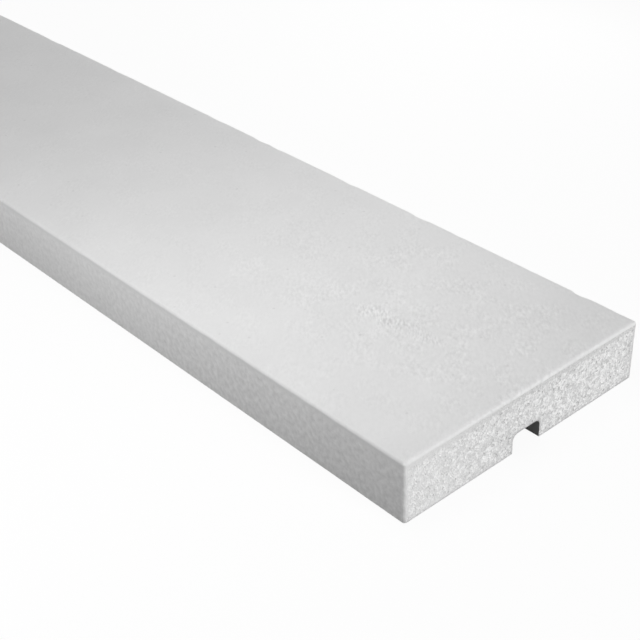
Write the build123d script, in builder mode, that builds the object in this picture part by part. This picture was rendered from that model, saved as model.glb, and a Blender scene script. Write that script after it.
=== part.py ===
from build123d import *
import os

# A flat facade moulding: one length of extruded rigid foam trim. It lies on its back, face up.
# X runs along the length, Y across the face and Z from the back to the face.
# The origin is in the middle of the back.

# Driving dimensions, in millimetres
length = 2000.0
face_width = 120.0
thickness = 25.0
groove_width = 14.0
groove_depth = 8.0
face_edge_radius = 1.2
groove_corner_radius = 2.5
groove_mouth_radius = 0.6
end_edge_radius = 1.0

# The groove leaves this much of the back on each side of it, to glue against the wall
strip_width = (face_width - groove_width) / 2

# A long rounding takes less than half of the walls beside it, so that two never meet.
# The rounding of an end stays tighter than the arrises that it runs round.
share_of_wall = 0.45
share_of_arris = 0.9
face_edge = min(face_edge_radius, share_of_wall * thickness)
groove_corner = min(groove_corner_radius, share_of_wall * min(groove_width, groove_depth))
groove_mouth = min(groove_mouth_radius, share_of_wall * min(groove_depth, strip_width))
end_edge = min(end_edge_radius, share_of_arris * face_edge)

with BuildPart() as moulding:
    # The slab that the die gives the whole length, with the two arrises of its face rounded
    with BuildSketch(Plane.YZ.offset(-length / 2)) as slab:
        Rectangle(face_width, thickness, align=(Align.CENTER, Align.MIN))
        fillet(slab.vertices().group_by(Axis.Y)[-1], face_edge)
    extrude(amount=length)

    # The sawn ends are rubbed down a little round the face and the sides.
    # The lowest edge of each end is the back's, and it stays sharp.
    sawn_ends = moulding.faces().filter_by(Axis.X)
    rubbed_edges = [edge for end in sawn_ends for edge in end.edges().sort_by(Axis.Z)[1:]]
    fillet(rubbed_edges, end_edge)

    # The groove along the middle of the back, which the saw leaves with crisp edges at the ends
    with BuildSketch(Plane.YZ.offset(-length / 2)) as groove:
        Rectangle(groove_width, groove_depth, align=(Align.CENTER, Align.MIN))
        fillet(groove.vertices().group_by(Axis.Y)[-1], groove_corner)
    extrude(amount=length, mode=Mode.SUBTRACT)

    # Of the long edges in the plane of the back, the inner two are the groove's mouth
    back_edges = moulding.edges().filter_by(Axis.X).group_by(Axis.Z)[0].sort_by(Axis.Y)
    fillet(back_edges[1:-1], groove_mouth)

moulding.part.label = "facade_moulding"

os.makedirs("parts", exist_ok=True)
export_step(moulding.part, "parts/facade_moulding.step")
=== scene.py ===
# %% [markdown]
# A length of flat facade moulding. The real thing is one strip of rigid foam, pushed through a die and
# sawn to length: it is glued round a window or along a wall, and a shallow groove runs along its back.
# It could be modelled here from nothing, but the solid model already has the true size and section. So
# that is loaded first, and every point that is made later is set against it. The lesson then gives the
# strip the look of real stock: the fine sandy skin that the die leaves, arrises that are a little knocked,
# and open foam cells on the sawn ends.
# All sizes are in metres. X runs along the length, Y across the face and Z up from the back.

# %% Load the solid model
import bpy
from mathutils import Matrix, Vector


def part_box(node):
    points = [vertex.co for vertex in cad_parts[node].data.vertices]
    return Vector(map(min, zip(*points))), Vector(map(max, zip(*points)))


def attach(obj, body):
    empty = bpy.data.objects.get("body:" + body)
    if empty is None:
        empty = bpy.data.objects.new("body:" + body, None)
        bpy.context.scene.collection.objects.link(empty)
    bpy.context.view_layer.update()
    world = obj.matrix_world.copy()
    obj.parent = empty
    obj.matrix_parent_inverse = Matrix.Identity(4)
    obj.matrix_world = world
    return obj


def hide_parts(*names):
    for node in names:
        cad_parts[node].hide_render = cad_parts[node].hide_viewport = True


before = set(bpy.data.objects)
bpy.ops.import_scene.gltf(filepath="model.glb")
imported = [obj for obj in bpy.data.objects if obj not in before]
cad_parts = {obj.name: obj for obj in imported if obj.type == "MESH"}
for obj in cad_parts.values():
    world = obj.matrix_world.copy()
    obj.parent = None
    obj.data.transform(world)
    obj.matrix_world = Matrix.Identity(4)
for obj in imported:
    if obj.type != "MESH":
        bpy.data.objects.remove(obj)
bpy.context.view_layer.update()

# %% [markdown]
# The strip has three main sizes: its length, the width of its face and its thickness. They could be typed
# in again, but two copies of a size drift apart sooner or later. So they are read from the solid model,
# and the skin, the ends, the camera and the lamps below all follow them.

# %% Take the sizes of the strip
import math

import bpy
import numpy as np
from mathutils import Quaternion, Vector, noise
from mathutils.geometry import delaunay_2d_cdt

low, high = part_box("facade_moulding")
length, face_width, thickness = high - low
half_length = length / 2
half_width = face_width / 2
print(f"strip: {length:.3f} x {face_width:.3f} x {thickness:.3f} m")

# %% [markdown]
# The section is what the die gives: a slab with a groove in the middle of its back, and every corner
# rounded. It could be cut from a block with a Boolean modifier, but that leaves faces as long as the
# strip, which nothing can be shaped on. So the section is written down as a list of corners, each with
# its radius, and the mesh is grown from that list.

# %% List the corners of the section
groove_width = 0.014
groove_depth = 0.008
face_edge_radius = 0.0012
groove_corner_radius = 0.0025
groove_mouth_radius = 0.0003
half_groove = groove_width / 2

# The back's outer edges are sharp, but no edge of cut foam is quite sharp to the eye
back_edge_softness = 0.0003

# Each corner is its place across and up, and its radius, anticlockwise as seen from the right end
corners = [
    (half_width, thickness, face_edge_radius),
    (-half_width, thickness, face_edge_radius),
    (-half_width, 0.0, back_edge_softness),
    (-half_groove, 0.0, groove_mouth_radius),
    (-half_groove, groove_depth, groove_corner_radius),
    (half_groove, groove_depth, groove_corner_radius),
    (half_groove, 0.0, groove_mouth_radius),
    (half_width, 0.0, back_edge_softness),
]
print(len(corners), "corners in the section")

# %% [markdown]
# Light runs along the rounded edges of real foam, so the corners have to be truly round. A Bevel modifier
# could round them, but the wide faces would then have no points between their corners, and nothing there
# could be shaped. So the outline is walked corner by corner instead: each corner becomes a short arc, and
# each straight run is divided evenly.

# %% Round the corners and divide the straight runs
arc_steps = 5
skin_pitch = 0.003


def rounded_corner(number):
    """The points of the quarter circle that rounds one corner of the section."""
    before, corner, after = (Vector(corners[(number + step) % len(corners)][:2]) for step in (-1, 0, 1))
    radius = corners[number][2]
    to_before = (before - corner).normalized()
    to_after = (after - corner).normalized()
    centre = corner + radius * (to_before + to_after)
    turns = np.linspace(0, math.pi / 2, arc_steps + 1)
    return [centre - radius * (math.cos(t) * to_after + math.sin(t) * to_before) for t in turns]


def section_ring():
    """All points round the section, and for each one whether it is on an arris of the face."""
    ring, on_arris = [], []
    arcs = [rounded_corner(number) for number in range(len(corners))]
    for number, arc in enumerate(arcs):
        ring += arc
        on_arris += [corners[number][1] == thickness] * len(arc)
        run = arcs[(number + 1) % len(arcs)][0] - arc[-1]
        parts = max(1, round(run.length / skin_pitch))
        ring += [arc[-1] + run * part / parts for part in range(1, parts)]
        on_arris += [False] * (parts - 1)
    return np.array(ring), np.array(on_arris)


ring, on_arris = section_ring()
along_ring = np.roll(ring, -1, axis=0) - np.roll(ring, 1, axis=0)
outward = np.column_stack([along_ring[:, 1], -along_ring[:, 0]])
outward /= np.linalg.norm(outward, axis=1, keepdims=True)
print(len(ring), "points round the section,", on_arris.sum(), "of them on the arrises of the face")

# %% [markdown]
# The die gives the same section all along the strip. Two copies of it, one at each end, would be enough
# for a plain extrusion, but the arrises between them could then take no knocks. So the section is repeated
# at stations along the length, like the ribs of a boat. Near the ends, where the strip is looked at
# closely, they stand close together, and towards the middle they spread out, which saves points. The last
# few follow a small quarter circle, which will round the edge of the end.

# %% Space the stations along the length
end_edge_radius = 0.001
first_step = 0.002
longest_step = 0.010
step_growth = 1.02


def stations_of_one_end():
    """How far each station lies from the end, and how far its section is drawn in."""
    turns = np.linspace(math.pi / 2, 0, arc_steps + 1)
    distances = list(end_edge_radius * (1 - np.sin(turns)))
    insets = list(end_edge_radius * (1 - np.cos(turns)))
    step = first_step
    while distances[-1] + step < half_length - longest_step / 2:
        distances.append(distances[-1] + step)
        insets.append(0.0)
        step = min(step * step_growth, longest_step)
    return np.array(distances), np.array(insets)


distances, insets = stations_of_one_end()
station_x = np.concatenate([distances - half_length, half_length - distances[::-1]])
station_inset = np.concatenate([insets, insets[::-1]])
print(len(station_x), "stations,", f"{first_step * 1000:.0f} to {longest_step * 1000:.0f} mm apart")

# %% [markdown]
# The saw leaves a sharp edge round each end, and a rub with abrasive paper rounds it along the face and
# the sides. Scaling the last sections down would round it too, but that would also pull in the back and
# the groove, which nobody rubs. So each point of the section gets a way of its own to be drawn in: straight
# inwards on the face and the sides, and none at all on the back and in the groove.

# %% Say which way the rubbed edges are drawn in
hair = 1e-6
on_side = np.abs(ring[:, 0]) > half_width - back_edge_softness - hair
on_face = ring[:, 1] > thickness - face_edge_radius - hair
at_back_edge = on_side & (ring[:, 1] < back_edge_softness + hair)
rubbed_way = outward * (on_side | on_face)[:, None]
rubbed_way[at_back_edge] = np.column_stack([np.sign(ring[at_back_edge, 0]), np.zeros(at_back_edge.sum())])
print((on_side | on_face).sum(), "points of each section are rubbed")

# %% [markdown]
# No foam skin is dead flat. It swells and sinks by a few hundredths of a millimetre as the stock cools,
# and its arrises take small knocks in the store. A Displace modifier could push points about, but it
# pushes outwards too, and the strip may not grow beyond its size. So each point is moved here, inwards
# only, by noise that is the same on every run, and light runs along the face and the arris as it does on
# the real strip.

# %% Shape the skin between the ends
swell_depth = 0.00006
swell_size = 0.035
dimple_depth = 0.00003
dimple_size = 0.009
knock_depth = 0.00055
knock_size = 0.007
knock_threshold = 0.15


def skin_relief(point, arris):
    """How far the skin lies inside the true section at this point."""
    swell = swell_depth * (1 + noise.noise(point / swell_size)) / 2
    dimple = dimple_depth * (1 + noise.noise(point / dimple_size)) / 2
    if not arris:
        return swell + dimple
    knock = max(0.0, noise.noise(point / knock_size) - knock_threshold) / (1 - knock_threshold)
    return swell + dimple + knock_depth * knock


def skin_points():
    """The points of the skin, as an array of stations by points round the section."""
    points = np.empty((len(station_x), len(ring), 3))
    points[:, :, 0] = station_x[:, None]
    points[:, :, 1:] = ring - station_inset[:, None, None] * rubbed_way
    for station in points:
        reliefs = [skin_relief(Vector(point), arris) for point, arris in zip(station, on_arris)]
        station[:, 1:] -= np.array(reliefs)[:, None] * outward
    return points


skin = skin_points()
print("skin:", skin.shape[0] * skin.shape[1], "points")

# %% [markdown]
# A sawn end shows what the strip is made of: closed cells, half a millimetre wide and more, smaller and
# tighter near the skin than in the core. Where the saw cut one open it is a small bowl. A bump texture
# could suggest them, but bowls that are really there catch glints and shade from every side. First the
# middles of the cells are scattered, like darts thrown at the end: a dart that lands too near another is
# dropped. Each end has its own seed, so the ends differ, but every run gives the same two.

# %% Scatter the cells over the sawn ends
face_skin = 0.0025
side_skin = 0.0013
back_skin = 0.0003
finest_cell = 0.00052
coarsest_cell = 0.00078
spread_of_widths = (0.8, 1.25)
core_depth = 0.004
overshoot = 0.002
darts = 50000


def depth_in_foam(across, up):
    """How deep a point of the section lies in the cellular part: below 0 it is in the smooth skin."""
    from_sides = half_width - side_skin - np.abs(across)
    from_face = thickness - face_skin - up
    from_back = up - back_skin
    from_groove = np.maximum(np.abs(across) - half_groove, up - groove_depth) - back_skin
    return np.minimum(np.minimum(from_sides, from_face), np.minimum(from_back, from_groove))


def share_of_core(across, up):
    """0 at the skin, and 1 where the foam is as coarse as it gets."""
    return np.clip(depth_in_foam(across, up) / core_depth, 0, 1)


def scatter_cells(random):
    """The middles of the cells, with one cell's width between them or more."""
    across = random.uniform(-half_width - overshoot, half_width + overshoot, darts)
    up = random.uniform(-overshoot, thickness + overshoot, darts)
    width = finest_cell + (coarsest_cell - finest_cell) * share_of_core(across, up)
    width *= random.uniform(*spread_of_widths, darts)
    middles = np.empty((darts, 2))
    count = 0
    for dart in range(darts):
        gaps = np.hypot(middles[:count, 0] - across[dart], middles[:count, 1] - up[dart])
        if count == 0 or gaps.min() > width[dart]:
            middles[count] = across[dart], up[dart]
            count += 1
    return middles[:count]


left_random = np.random.default_rng(seed=11)
right_random = np.random.default_rng(seed=23)
left_middles = scatter_cells(left_random)
right_middles = scatter_cells(right_random)
print("darts that stayed on the left and right end:", len(left_middles), len(right_middles))

# %% [markdown]
# The walls of foam cells stand halfway between the cells, as between soap bubbles. A Voronoi texture shows
# such walls, but only as a picture. Joining the middles into triangles gives them as points: the one that
# is as far from all three corners of a triangle is where three walls meet, and a walk round a middle, from
# triangle to triangle, gives the cell's outline. Only outlines that lie wholly in the cellular part are
# kept, so the smooth skin ends in a ragged line.

# %% Find the walls between the cells
whole_hull = 0
same_point = 1e-7


def meeting_points(middles, triangles):
    """For each triangle of middles, the point that is as far from all three."""
    start = middles[triangles[:, 0]]
    one = middles[triangles[:, 1]] - start
    two = middles[triangles[:, 2]] - start
    square_one = (one ** 2).sum(axis=1)
    square_two = (two ** 2).sum(axis=1)
    twice_area = 2 * (one[:, 0] * two[:, 1] - one[:, 1] * two[:, 0])
    across = (two[:, 1] * square_one - one[:, 1] * square_two) / twice_area
    up = (one[:, 0] * square_two - two[:, 0] * square_one) / twice_area
    return start + np.column_stack([across, up])


def cell_outlines(middles):
    """The points where walls meet, and for each kept cell the numbers of its points in order."""
    spots = [Vector(middle) for middle in middles]
    flat, _, triangles, _, _, _ = delaunay_2d_cdt(spots, [], [], whole_hull, same_point)
    middles = np.array(flat)
    meetings = meeting_points(middles, np.array(triangles))
    in_foam = depth_in_foam(meetings[:, 0], meetings[:, 1]) > 0
    around = [[] for _ in middles]
    for number, triangle in enumerate(triangles):
        for corner in triangle:
            around[corner].append(number)
    outlines = []
    for middle, numbers in zip(middles, around):
        if len(numbers) > 2 and in_foam[numbers].all():
            spokes = meetings[numbers] - middle
            order = np.argsort(np.arctan2(spokes[:, 1], spokes[:, 0]))
            outlines.append([numbers[step] for step in order])
    return meetings, outlines


left_meetings, left_outlines = cell_outlines(left_middles)
right_meetings, right_outlines = cell_outlines(right_middles)
print("whole cells on the left and right end:", len(left_outlines), len(right_outlines))

# %% [markdown]
# Each cell now becomes a bowl. Half a sphere would take dozens of faces for each of thousands of cells, so
# a bowl is only a fan: its outline is the rim, and one point under its middle is the bottom. Smooth shading
# makes it read as round. Depths differ, because the saw passes some cells near the top and some through the
# middle, and here and there it tears one right open. Near the skin the bowls are shallow. The flat border
# between the rims and the edge of the end is filled with triangles by the same tool that joined the middles.

# %% Build the sawn ends
shallowest_bowl = 0.00005
deepest_bowl = 0.00050
torn_bowl = 0.00070
torn_share = 0.045
# painted shade: torn cells get this dark tone for the shade in their deep bowls
torn_painted_shade_tone = -0.50
depth_at_skin = 0.3
rim_wear = 0.00008
inside_edges = 1
merge_distance = 0.00003
border_tone = 0.28


class SawnEnd:
    """The mesh of one sawn end: flat points first, with the edge of the skin at their head."""

    def __init__(self, edge, meetings, outlines, random):
        used = sorted({number for outline in outlines for number in outline})
        place = {number: len(edge) + at for at, number in enumerate(used)}
        flat = [Vector(point) for point in [*edge, *meetings[used]]]
        loop = [(at, (at + 1) % len(edge)) for at in range(len(edge))]
        cells = [[place[number] for number in outline] for outline in outlines]
        filled = delaunay_2d_cdt(flat, loop, cells, inside_edges, merge_distance)
        points, _, pieces, came_from, _, of_cell = filled

        now_at = {old: new for new, olds in enumerate(came_from) for old in olds}
        self.edge = [now_at[at] for at in range(len(edge))]
        self.points = [(point.x, point.y, rim_wear * random.random()) for point in points]
        for at in self.edge:
            self.points[at] = (points[at].x, points[at].y, 0.0)
        self.depths = [0.0] * len(self.points)
        self.rims = {now_at[at] for cell in cells for at in cell}
        self.faces = [piece for piece, cell in zip(pieces, of_cell) if not cell]
        self.tones = [border_tone] * len(self.faces)
        self.cells = 0
        for cell in cells:
            rim = list(dict.fromkeys(now_at[at] for at in cell))
            if len(rim) > 2:
                self.add_bowl(rim, random)

    def add_bowl(self, rim, random):
        """One cut cell: a fan of triangles from its rim down to its bottom."""
        across, up = np.mean([self.points[at][:2] for at in rim], axis=0)
        torn = random.random() < torn_share
        depth = torn_bowl if torn else random.uniform(shallowest_bowl, deepest_bowl)
        depth *= depth_at_skin + (1 - depth_at_skin) * share_of_core(across, up)
        bottom = len(self.points)
        self.points.append((across, up, rim_wear / 2 + depth))
        self.depths.append(depth)
        self.faces += [[at, rim[(step + 1) % len(rim)], bottom] for step, at in enumerate(rim)]
        self.tones += [torn_painted_shade_tone if torn else random.random()] * len(rim)
        self.cells += 1


left_end = SawnEnd(skin[0, :, 1:], left_meetings, left_outlines, left_random)
right_end = SawnEnd(skin[-1, :, 1:], right_meetings, right_outlines, right_random)
print("bowls on the left and right end:", left_end.cells, right_end.cells)

# %% [markdown]
# On the real strip the skin runs over the edge into the sawn end without a gap. Three meshes laid against
# each other would look alike, but a seam between them could open, and their shading would break there. So
# all is sewn into one closed mesh: the ends don't bring their own edge points, but use the last ring of
# the skin.

# %% Sew the skin and the ends together
skin_slot = 0
foam_slot = 1


def skin_faces():
    """Quads between each station and the next, facing outwards."""
    around = len(ring)
    faces = []
    for station in range(len(station_x) - 1):
        here = station * around
        there = here + around
        for at in range(around):
            after = (at + 1) % around
            faces.append([here + at, here + after, there + after, there + at])
    return faces


def sew():
    """The whole strip: its points, its faces, and what the finishes read from each."""
    points = skin.reshape(-1, 3).tolist()
    faces = skin_faces()
    slots = [skin_slot] * len(faces)
    tones = [border_tone] * len(faces)
    depths = [0.0] * len(points)
    rims = [False] * len(points)
    last_ring = (len(station_x) - 1) * len(ring)
    for end, way, edge_from in ((left_end, -1, 0), (right_end, 1, last_ring)):
        number = {at: edge_from + step for step, at in enumerate(end.edge)}
        for at, (across, up, depth) in enumerate(end.points):
            if at not in number:
                number[at] = len(points)
                points.append([way * (half_length - depth), across, up])
                depths.append(end.depths[at])
                rims.append(at in end.rims)
        faces += [[number[at] for at in face][::way] for face in end.faces]
        slots += [foam_slot] * len(end.faces)
        tones += end.tones
    return points, faces, slots, tones, depths, rims


points, faces, slots, tones, depths, rims = sew()
print(len(points), "points and", len(faces), "faces")

# %% [markdown]
# A cut cell has a crisp wall and a soft hollow. Shading every face flat would show the facets of the bowls,
# and shading everything smooth would melt the walls away. So all faces are smooth and the edges along the
# rims are marked sharp. Each face also keeps the tone of its cell, and each point the depth of its bowl, as
# attributes that the finish of the foam reads later.

# %% Make the mesh
mesh = bpy.data.meshes.new("facade_moulding_skin")
mesh.from_pydata(points, [], faces)
mesh.polygons.foreach_set("material_index", slots)
mesh.polygons.foreach_set("use_smooth", [True] * len(faces))
mesh.attributes.new("cell_tone", "FLOAT", "FACE").data.foreach_set("value", tones)
mesh.attributes.new("cell_depth", "FLOAT", "POINT").data.foreach_set("value", depths)

edge_ends = np.empty(len(mesh.edges) * 2, dtype=int)
mesh.edges.foreach_get("vertices", edge_ends)
sharp = np.array(rims)[edge_ends.reshape(-1, 2)].all(axis=1)
mesh.attributes.new("sharp_edge", "BOOLEAN", "EDGE").data.foreach_set("value", sharp)
mesh.update()

moulding = bpy.data.objects.new("moulding_stock", mesh)
bpy.context.scene.collection.objects.link(moulding)
print("triangles:", sum(len(face) - 2 for face in faces), "sharp edges:", sharp.sum())

# %% [markdown]
# A finish is a small network of nodes, and most of its nodes only add or multiply. Each could be made and
# wired by hand, but that hides the sum. So a wire that carries a value learns Python's own signs here:
# 1 - mask makes the Math node by itself. All other nodes come from one method, which sets a node's settings
# before its sockets, because some settings decide which sockets there are.

# %% Teach the wires to do sums
def sum_sign(operation, swapped=False):
    """A Python sign that adds a Math node for its two sides."""
    def apply(wire, other):
        sides = (other, wire) if swapped else (wire, other)
        return wire.recipe.node("ShaderNodeMath", {"operation": operation}, dict(enumerate(sides)))
    return apply


class Wire:
    """An output socket of a node, with the signs for sums."""

    def __init__(self, recipe, socket):
        self.recipe = recipe
        self.socket = socket

    def __abs__(self):
        return self.recipe.node("ShaderNodeMath", {"operation": "ABSOLUTE"}, {0: self})

    __add__ = sum_sign("ADD")
    __radd__ = sum_sign("ADD", swapped=True)
    __sub__ = sum_sign("SUBTRACT")
    __rsub__ = sum_sign("SUBTRACT", swapped=True)
    __mul__ = sum_sign("MULTIPLY")
    __rmul__ = sum_sign("MULTIPLY", swapped=True)
    __truediv__ = sum_sign("DIVIDE")
    __rtruediv__ = sum_sign("DIVIDE", swapped=True)
    __lt__ = sum_sign("LESS_THAN")
    __gt__ = sum_sign("GREATER_THAN")


class Recipe:
    """The nodes of one material or of the world."""

    def __init__(self, owner):
        owner.use_nodes = True
        self.tree = owner.node_tree
        self.tree.nodes.clear()

    def node(self, kind, settings=None, sockets=None, output=None):
        """Adds a node: its settings first, then a value or a wire for each socket, by name or number."""
        made = self.tree.nodes.new(kind)
        for name, value in (settings or {}).items():
            setattr(made, name, value)
        for key, value in (sockets or {}).items():
            socket = next(s for at, s in enumerate(made.inputs) if s.enabled and key in (at, s.name))
            if isinstance(value, Wire):
                self.tree.links.new(value.socket, socket)
            else:
                socket.default_value = value
        outputs = [s for s in made.outputs if s.enabled and output in (None, s.name)]
        return Wire(self, outputs[0]) if outputs else None


print("what a wire can do:", [name for name, value in vars(Wire).items() if callable(value)])

# %% [markdown]
# Both finishes are made of the same few things: cloudy noise of a given size, pits scattered in cells, a
# soft step between two levels, a blend of two colours, and places that are stretched so that marks come out
# long. The nodes could be written out each time, but short names, with sizes in metres, let the finishes
# below read like a description of the surface.

# %% Name the common nodes
foam_ior = 1.49
pit_floor = 0.3


def grey(level):
    """A neutral colour."""
    return (level, level, level, 1.0)


def cloud(place, size, detail):
    """Noise with patches of about this size, around a half."""
    sockets = {"Vector": place, "Scale": 1 / size, "Detail": detail}
    return place.recipe.node("ShaderNodeTexNoise", {}, sockets, "Fac")


def stretched(place, lengths, turn=0.0):
    """Places for marks of these lengths along X, Y and Z, turned about Z."""
    sockets = {"Vector": place, "Rotation": (0, 0, turn), "Scale": lengths}
    return place.recipe.node("ShaderNodeMapping", {"vector_type": "TEXTURE"}, sockets)


def step_between(value, start, end):
    """0 up to start, 1 from end on, and a soft rise between them."""
    sockets = {"Value": value, "From Min": start, "From Max": end}
    return value.recipe.node("ShaderNodeMapRange", {"interpolation_type": "SMOOTHSTEP"}, sockets)


def blend(share, none, full):
    """A colour between two others."""
    sockets = {"Factor": share, "A": none, "B": full}
    return share.recipe.node("ShaderNodeMix", {"data_type": "RGBA"}, sockets)


def pits(place, spacing, radius, share):
    """1 in the middle of scattered pits and 0 around them. The share says how many cells have one."""
    sockets = {"Vector": place, "Scale": 1 / spacing}
    distance = place.recipe.node("ShaderNodeTexVoronoi", {}, sockets, "Distance")
    lot = place.recipe.node("ShaderNodeTexVoronoi", {}, sockets, "Color")
    drawn = place.recipe.node("ShaderNodeSeparateColor", {}, {"Color": lot}, "Red") < share
    return drawn * (1 - step_between(distance, pit_floor * radius / spacing, radius / spacing))


def surface(name, colour, roughness, height):
    """Closes a material: colour and roughness as given, and a height in metres as bump."""
    recipe = colour.recipe
    normal = recipe.node("ShaderNodeBump", {}, {"Height": height, "Distance": 1.0, "Strength": 1.0})
    look = {"Base Color": colour, "Roughness": roughness, "Normal": normal, "IOR": foam_ior}
    shader = recipe.node("ShaderNodeBsdfPrincipled", {}, look)
    recipe.node("ShaderNodeOutputMaterial", {}, {"Surface": shader})
    print(name, "has", len(recipe.tree.nodes), "nodes")


short_names = (grey, cloud, stretched, step_between, blend, pits, surface)
print("short names:", [helper.__name__ for helper in short_names])

# %% [markdown]
# The skin is foam that melted together against the die. Hands, abrasive paper and a scuff have left marks
# on it since, each on its own part of the strip: hands near the end, paper along its edge, which also gets a
# painted highlight, and a scuffed streak in one place. The sides get painted shade, darker towards the back.
# All of these could be painted on an image, but that blurs up close. So the finish measures where a point
# lies, and turns the distances into masks from 0 to 1.

# %% Mask the parts of the skin
side_below_face = (0.001, 0.004)
handled_from_end = (0.05, 0.19)
handled_line = 0.010
handled_from_line = (0.022, 0.050)
# wear and a painted highlight: the band along the edge of the end is painted lighter
wear_and_highlight_from_end = (0.0005, 0.0022)
scuff_middle = (half_length - 0.0603, -0.0047)
scuff_reach = (0.029, 0.0060)
scuff_turn = math.radians(4.7)
scuff_fade = (0.2, 1.0)

moulded_skin = bpy.data.materials.new("moulded_skin")
skin_recipe = Recipe(moulded_skin)
skin_place = skin_recipe.node("ShaderNodeTexCoord", {}, {}, "Object")
split = [skin_recipe.node("ShaderNodeSeparateXYZ", {}, {"Vector": skin_place}, axis) for axis in "XYZ"]
along, across, up = split
from_end = half_length - abs(along)
on_sides = step_between(thickness - up, *side_below_face)
in_groove = (1 - step_between(abs(across), half_groove, half_groove + groove_mouth_radius)) * on_sides
near_end = 1 - step_between(from_end, *handled_from_end)
near_line = 1 - step_between(abs(across - handled_line), *handled_from_line)
handled = 0.3 + near_end * (0.15 + 0.55 * near_line)
# the edge of the end is painted lighter: partly wear, partly a painted highlight
wear_and_highlight_at_end = 1 - step_between(from_end, *wear_and_highlight_from_end)
# painted shade: the sides and the back are painted darker towards the back and lighter towards the face
painted_shade_towards_back = on_sides * (0.5 - up / thickness)

scuff_x = along - scuff_middle[0]
scuff_y = across - scuff_middle[1]
off_along = (math.cos(scuff_turn) * scuff_x + math.sin(scuff_turn) * scuff_y) / scuff_reach[0]
off_across = (math.cos(scuff_turn) * scuff_y - math.sin(scuff_turn) * scuff_x) / scuff_reach[1]
scuffed = 1 - step_between(off_along * off_along + off_across * off_across, *scuff_fade)
print("masks of the skin:", len(skin_recipe.tree.nodes), "nodes")

# %% [markdown]
# From a step away the skin is a plain light grey, and close to it is finely mottled, in patches, with soft
# clouds, a few pinholes where a bubble burst, and short marks in the scuff that all lie one way. One flat
# grey would pass for card: under soft light it is these small changes that tell foam from paper. Each is a
# noise of its own size, so that it keeps its scale on a strip of any length.

# %% Mottle and mark the skin
rub_turn = math.radians(136)
face_grain = (0.0022, 0.0011, 0.0011)
side_grain = (0.0020, 0.0020, 0.0022)
scuff_grain = (0.0026, 0.0008, 0.0008)
patch_size = 0.012
patch_levels = (0.42, 0.60)
clump_size = 0.009
clump_levels = (0.40, 0.56)
mark_level = 0.49
cloud_size = 0.030
pinhole_spacing = 0.0045
pinhole_radius = 0.0008
pinhole_share = 0.12

patches = 0.35 + 0.65 * step_between(cloud(skin_place, patch_size, 2.0), *patch_levels)
face_mottle = handled * patches * (cloud(stretched(skin_place, face_grain, rub_turn), 1.0, 3.0) - 0.5)
side_mottle = (0.8 + 0.5 * near_end) * (cloud(stretched(skin_place, side_grain), 1.0, 3.0) - 0.5)
mottle = on_sides * side_mottle + (1 - on_sides) * face_mottle
clouds = cloud(skin_place, cloud_size, 2.0) - 0.5
# the pinholes also darken the colour in the sum below, as painted shade in them
pinholes = pits(skin_place, pinhole_spacing, pinhole_radius, pinhole_share)
clumps = 0.6 + 0.4 * step_between(cloud(skin_place, clump_size, 1.0), *clump_levels)
marks = scuffed * clumps * (cloud(stretched(skin_place, scuff_grain, rub_turn), 1.0, 1.0) - mark_level)
print("masks and marks of the skin:", len(skin_recipe.tree.nodes), "nodes")

# %% [markdown]
# What is left is to add all marks up. A chain of Mix nodes could lay one over the other, but a sum says
# plainly how much each is worth: 0 is the dark grey and 1 the light one. The edge of the end is painted a
# little lighter, partly as wear and partly as a painted highlight, and the sides get painted shade, darker
# towards the back. The pinholes are painted darker, as painted shade in them. A second sum gives the heights
# that the bump feels, in metres. The groove is rougher than the rest, and its darker grey is painted shade.

# %% Colour the skin
skin_dark = grey(0.63)
skin_light = grey(0.91)
# painted shade: the groove is painted a darker grey than the skin
groove_painted_shade_grey = grey(0.45)

# painted light in this sum: the end's edge lighter (wear and painted highlight), pinholes and low sides
# darker (painted shade)
skin_tone = 0.52 + 1.35 * mottle - 0.3 * pinholes + 0.25 * clouds - 1.9 * marks + 0.2 * wear_and_highlight_at_end - 0.55 * painted_shade_towards_back
skin_height = 0.00005 * mottle - 0.00004 * pinholes + 0.00003 * clouds - 0.00018 * marks
skin_roughness = 0.62 + 0.2 * mottle + 0.38 * in_groove
skin_colour = blend(in_groove, blend(skin_tone, skin_dark, skin_light), groove_painted_shade_grey)
surface("moulded_skin", skin_colour, skin_roughness, skin_height)

# %% [markdown]
# Fresh cut foam is whiter than the skin, and its cell walls are thin films. Some cells are glossier and
# painted whiter, a painted glint; a torn cell is painted darker, as painted shade in its deep bowl; the
# bottom of a bowl is painted a little lighter than its rim, a painted highlight; and fine creases run over
# them all. Towards the front the saw pressed the cells flat, and there they differ less. A noise texture
# alone would ignore where the cells are. The bowls are in the mesh, so the finish only has to vary them:
# the tone that each cell carries sets its colour and how glossy it is.

# %% Finish the sawn foam
foam_dark = grey(0.40)
foam_light = grey(0.97)
crease_grain = (0.0009, 0.0009, 0.0005)
painted_glint_tones = (0.80, 0.86)

sawn_foam = bpy.data.materials.new("sawn_foam")
foam_recipe = Recipe(sawn_foam)
foam_place = foam_recipe.node("ShaderNodeTexCoord", {}, {}, "Object")
foam_across = foam_recipe.node("ShaderNodeSeparateXYZ", {}, {"Vector": foam_place}, "Y")
cell_tone = foam_recipe.node("ShaderNodeAttribute", {"attribute_name": "cell_tone"}, {}, "Fac")
cell_depth = foam_recipe.node("ShaderNodeAttribute", {"attribute_name": "cell_depth"}, {}, "Fac")
creases = cloud(stretched(foam_place, crease_grain), 1.0, 2.0) - 0.5
pressed = 1 - step_between(foam_across, -half_width, 0.0)
# painted glint: these cells are painted whiter, and are also glossier
painted_glint = step_between(cell_tone, *painted_glint_tones)

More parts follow.
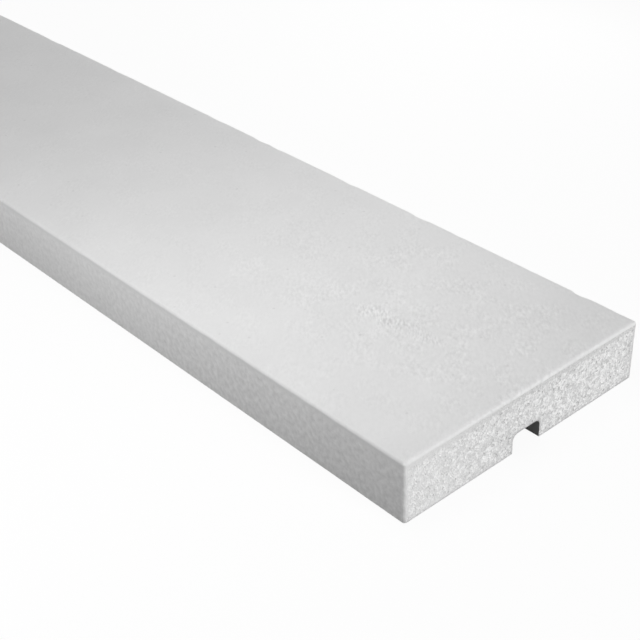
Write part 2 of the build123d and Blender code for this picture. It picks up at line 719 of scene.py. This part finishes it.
# painted highlight: the bottom of each bowl is painted lighter than its rim
speckle = 0.45 * (cell_tone - 0.5) + 1.1 * creases + 0.4 * cell_depth / deepest_bowl
foam_tone = 0.63 + 0.11 * pressed + (1 - 0.6 * pressed) * speckle + (0.65 - 0.35 * pressed) * painted_glint
surface("sawn_foam", blend(foam_tone, foam_dark, foam_light), 0.6 - 0.45 * painted_glint, 0.00002 * creases)

# %% [markdown]
# The mesh now stands for the plain solid. The solid could be left in place underneath, but the two would
# flicker through each other. So the mesh takes the solid's place in every view and rides on the part's only
# body.

# %% Put the strip in the frame
moulding.data.materials.append(moulded_skin)
moulding.data.materials.append(sawn_foam)
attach(moulding, "root")
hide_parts("facade_moulding")

# %% [markdown]
# The strip lies on a plain pale floor that fades into white, as in a product picture. A simple white floor
# would do that, but it throws so much light at the sides and into the groove that their shade is lost. So
# the floor has two looks. To the camera it is white paper that also glows softly, with the strip's shadow
# on it, and to the strip it is a dim grey. From below it is clear, so the back can be seen.

# %% Lay the floor
floor_reach = 12.0
floor_gap = 0.0003
floor_grey = grey(0.15)
floor_white = grey(0.95)
white = grey(1.0)
glow_share = 0.94


def seen_directly(recipe):
    """1 for rays that come straight from the camera, or by way of a gloss or a clear surface."""
    ways = ("Is Camera Ray", "Is Glossy Ray", "Is Transmission Ray")
    wires = [recipe.node("ShaderNodeLightPath", {}, {}, way) for way in ways]
    return step_between(wires[0] + wires[1] + wires[2], 0.0, 1.0)


floor_mesh = bpy.data.meshes.new("floor")
floor_corners = [(x * floor_reach, y * floor_reach, 0) for x, y in ((-1, -1), (1, -1), (1, 1), (-1, 1))]
floor_mesh.from_pydata(floor_corners, [], [(0, 1, 2, 3)])
floor = bpy.data.objects.new("floor", floor_mesh)
floor.location.z = low.z - floor_gap
bpy.context.scene.collection.objects.link(floor)

pale_floor = bpy.data.materials.new("pale_floor")
floor_recipe = Recipe(pale_floor)
seen = seen_directly(floor_recipe)
dim = floor_recipe.node("ShaderNodeBsdfDiffuse", {}, {"Color": floor_grey})
matt = floor_recipe.node("ShaderNodeBsdfDiffuse", {}, {"Color": floor_white})
glow = floor_recipe.node("ShaderNodeEmission", {}, {"Color": white, "Strength": 1.0})
clear = floor_recipe.node("ShaderNodeBsdfTransparent")
paper = floor_recipe.node("ShaderNodeMixShader", {}, {0: glow_share, 1: matt, 2: glow})
upper = floor_recipe.node("ShaderNodeMixShader", {}, {0: seen, 1: dim, 2: paper})
behind = floor_recipe.node("ShaderNodeNewGeometry", {}, {}, "Backfacing")
one_way = floor_recipe.node("ShaderNodeMixShader", {}, {0: behind, 1: upper, 2: clear})
floor_recipe.node("ShaderNodeOutputMaterial", {}, {"Surface": one_way})
floor_mesh.materials.append(pale_floor)
print("floor:", 2 * floor_reach, "m across, with", len(floor_recipe.tree.nodes), "nodes")

# %% [markdown]
# A studio's walls send a little light from all sides, which keeps the shaded sides from going black. Real
# walls could be built, but the world's own background does it without a mesh. It is white to the camera,
# like the floor, and only a dim even light to the strip, so that the lamps can model its shape.

# %% Light the room
sky_level = 0.19

world = bpy.data.worlds.new("studio")
bpy.context.scene.world = world
room_recipe = Recipe(world)
around_all = seen_directly(room_recipe)
even_light = room_recipe.node("ShaderNodeBackground", {}, {"Color": white, "Strength": sky_level})
backdrop = room_recipe.node("ShaderNodeBackground", {}, {"Color": white, "Strength": 1.0})
room = room_recipe.node("ShaderNodeMixShader", {}, {0: around_all, 1: even_light, 2: backdrop})
room_recipe.node("ShaderNodeOutputWorld", {}, {"Surface": room})
print("even light at", sky_level)

# %% [markdown]
# The strip is long and the picture is taken at one end, where the face is brightest and fades along the
# length. One big lamp would light it all alike, so the shape comes from several soft ones. One hangs over
# the middle and two stand low beside it. Near each end there are four: one low over the face, for the
# bright pool, one in front of the sawn foam, and one low on each side. Both ends are lit the same way, so
# the strip looks alike from either.

# %% Hang the lamps
def soft_lamp(name, place, aim, size, power):
    """A lamp of this length and breadth in metres and power in watts, turned towards its aim."""
    light = bpy.data.lights.new(name, "AREA")
    light.shape = "RECTANGLE"
    light.size, light.size_y = size
    light.energy = power
    lamp = bpy.data.objects.new(name, light)
    lamp.location = place
    lamp.rotation_euler = (Vector(aim) - Vector(place)).to_track_quat("-Z", "Y").to_euler()
    lamp.visible_camera = False
    bpy.context.scene.collection.objects.link(lamp)
    print(name, "at", [round(value, 2) for value in place], power, "W")


soft_lamp("lamp_over_middle", place=(0, 0, 0.45), aim=(0, 0, 0), size=(0.6, 0.25), power=1.2)
for name, way in (("front", -1), ("rear", 1)):
    by_middle = Vector((0, way * 0.40, 0.14))
    side = Vector((0, way * half_width, 0))
    soft_lamp(f"lamp_by_middle_{name}", by_middle, aim=side, size=(0.5, 0.2), power=0.32)
for name, way in (("left", -1), ("right", 1)):
    end_middle = Vector((way * half_length, 0, thickness / 2))
    over_face = Vector((way * (half_length - 0.093), -0.051, 0.26))
    under_lamp = over_face - Vector((0, 0, 1))
    facing_end = end_middle + Vector((way * 1.0, 0.12, 0.3))
    by_front = Vector((way * (half_length - 0.18), -0.34, 0.11))
    front_side = Vector((by_front.x, -half_width, 0))
    by_rear = Vector((way * (half_length - 0.30), 0.30, 0.16))
    rear_side = Vector((by_rear.x, half_width, 0))
    soft_lamp(f"lamp_over_{name}_end", over_face, aim=under_lamp, size=(0.12, 0.12), power=0.24)
    soft_lamp(f"lamp_facing_{name}_end", facing_end, aim=end_middle, size=(0.4, 0.4), power=7.9)
    soft_lamp(f"lamp_by_{name}_front", by_front, aim=front_side, size=(0.2, 0.16), power=0.43)
    soft_lamp(f"lamp_by_{name}_rear", by_rear, aim=rear_side, size=(0.24, 0.24), power=0.27)

# %% [markdown]
# The camera stands close to the near corner of the sawn end and looks down across the face, with a slight
# lean. It could be placed by eye, but a long strip shows every wrong angle. So its place was worked out
# from the strip's straight edges as they run in the picture: they meet far away in three points, and those
# fix the lens, the direction and the distance.

# %% Set up the camera
picture_width_px = 640
focal_length_px = 1316.6
sensor_width_mm = 36.0
camera_from_corner = Vector((0.2284, -0.2306, 0.2669))
view_azimuth = math.radians(49.22)
view_elevation = math.radians(33.12)
view_lean = math.radians(1.74)

near_corner = Vector((half_length, -half_width, thickness))
level = math.cos(view_elevation)
ahead = Vector((-math.sin(view_azimuth) * level, math.cos(view_azimuth) * level, -math.sin(view_elevation)))
camera_data = bpy.data.cameras.new("camera")
camera_data.sensor_width = sensor_width_mm
camera_data.lens = sensor_width_mm * focal_length_px / picture_width_px
camera = bpy.data.objects.new("camera", camera_data)
camera.location = near_corner + camera_from_corner
camera.rotation_mode = "QUATERNION"
camera.rotation_quaternion = ahead.to_track_quat("-Z", "Y") @ Quaternion((0, 0, 1), -view_lean)
bpy.context.scene.collection.objects.link(camera)
bpy.context.scene.camera = camera
bpy.context.scene.view_settings.view_transform = "Standard"
print(f"lens {camera_data.lens:.1f} mm, {camera_from_corner.length:.3f} m from the near corner")

# %% [markdown]
# A look at a picture would not show a strip that grew by a millimetre. The box of the dressed strip should
# agree with the box of the solid model to a fraction of a millimetre, and should never be the larger.
